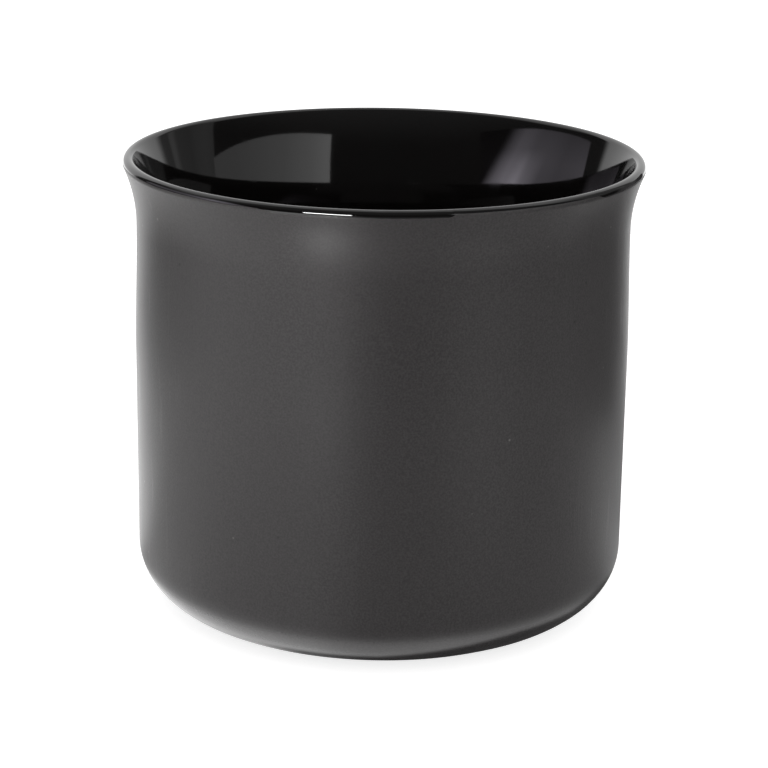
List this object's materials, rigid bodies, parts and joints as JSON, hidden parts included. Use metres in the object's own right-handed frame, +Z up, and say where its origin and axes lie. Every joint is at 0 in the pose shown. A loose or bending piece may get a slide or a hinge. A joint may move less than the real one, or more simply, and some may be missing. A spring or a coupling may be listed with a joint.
{
  "type": "mug",
  "caption": "Straight-sided ceramic mug with a flared lip, rounded lower corner, bare foot ring and a strap handle, dark matt outside and black gloss inside.",
  "frame": {"origin": "on the table, under the middle of the whole mug, handle included", "axes": "+Z up along the bowl's axis, +Y from the bowl towards the handle, +X to the right when the handle points away"},
  "size_m": [0.1016, 0.1338, 0.09],
  "materials": {
    "fired_clay": "matt",
    "fired_slip": "matt",
    "matt_charcoal_glaze": "satin",
    "black_gloss_glaze": "gloss"
  },
  "bodies": {
    "root": {"stoneware_body": "fired_clay", "handle": "fired_clay", "upper_slip_joint": "fired_slip", "lower_slip_joint": "fired_slip", "outer_matt_glaze": "matt_charcoal_glaze", "handle_matt_glaze": "matt_charcoal_glaze", "underside_glaze": "matt_charcoal_glaze", "inner_gloss_glaze": "black_gloss_glaze"}
  },
  "joints": []
}
